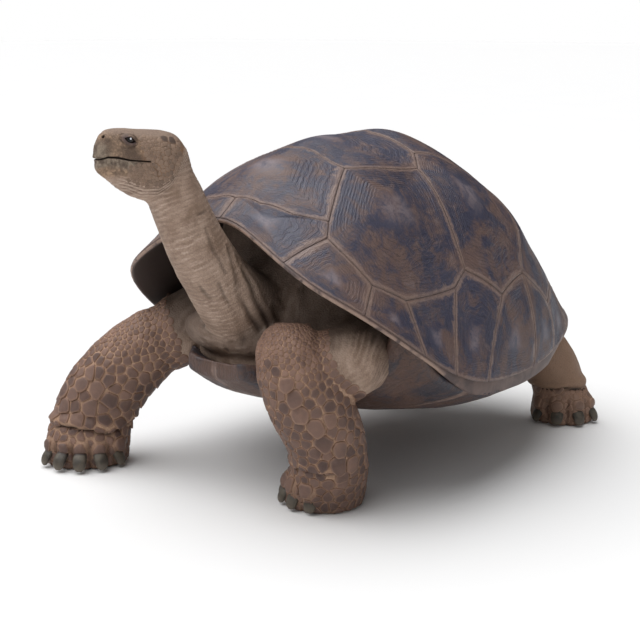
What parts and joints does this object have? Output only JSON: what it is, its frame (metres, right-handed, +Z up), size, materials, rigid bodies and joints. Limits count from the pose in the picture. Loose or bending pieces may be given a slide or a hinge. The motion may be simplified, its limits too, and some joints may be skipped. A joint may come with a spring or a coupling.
{
  "type": "giant tortoise",
  "caption": "Giant tortoise standing in mid stride, head raised and turned, with domed scuted shell and column legs on flat soles.",
  "frame": {"origin": "bottom centre of the bounding box, on the floor", "axes": "the animal faces -Y, its left is +X, +Z is up"},
  "size_m": [0.9256, 1.3038, 0.7804],
  "materials": {
    "carapace": "dull horn with a soft sheen on the bosses",
    "plastron": "dull worn horn",
    "body_skin": "dry scaled skin",
    "neck_skin": "dry wrinkled skin",
    "head_skin": "dry finely scaled skin with a horny beak",
    "claw": "worn grey horn",
    "eye": "wet and dark"
  },
  "bodies": {
    "root": {"carapace": "carapace", "eye_left": "eye", "eye_right": "eye", "head": "head_skin", "left_foreleg_claw_1": "claw", "left_foreleg_claw_2": "claw", "left_foreleg_claw_3": "claw", "left_foreleg_claw_4": "claw", "left_foreleg_claw_5": "claw", "left_foreleg_foot": "body_skin", "left_foreleg_lower": "body_skin", "left_foreleg_upper": "body_skin", "left_hindleg_claw_1": "claw", "left_hindleg_claw_2": "claw", "left_hindleg_claw_3": "claw", "left_hindleg_claw_4": "claw", "left_hindleg_foot": "body_skin", "left_hindleg_lower": "body_skin", "left_hindleg_upper": "body_skin", "lower_jaw": "head_skin", "neck": "neck_skin", "plastron": "plastron", "right_foreleg_claw_1": "claw", "right_foreleg_claw_2": "claw", "right_foreleg_claw_3": "claw", "right_foreleg_claw_4": "claw", "right_foreleg_claw_5": "claw", "right_foreleg_foot": "body_skin", "right_foreleg_lower": "body_skin", "right_foreleg_upper": "body_skin", "right_hindleg_claw_1": "claw", "right_hindleg_claw_2": "claw", "right_hindleg_claw_3": "claw", "right_hindleg_claw_4": "claw", "right_hindleg_foot": "body_skin", "right_hindleg_lower": "body_skin", "right_hindleg_upper": "body_skin", "tail": "body_skin", "trunk": "body_skin"}
  },
  "joints": []
}
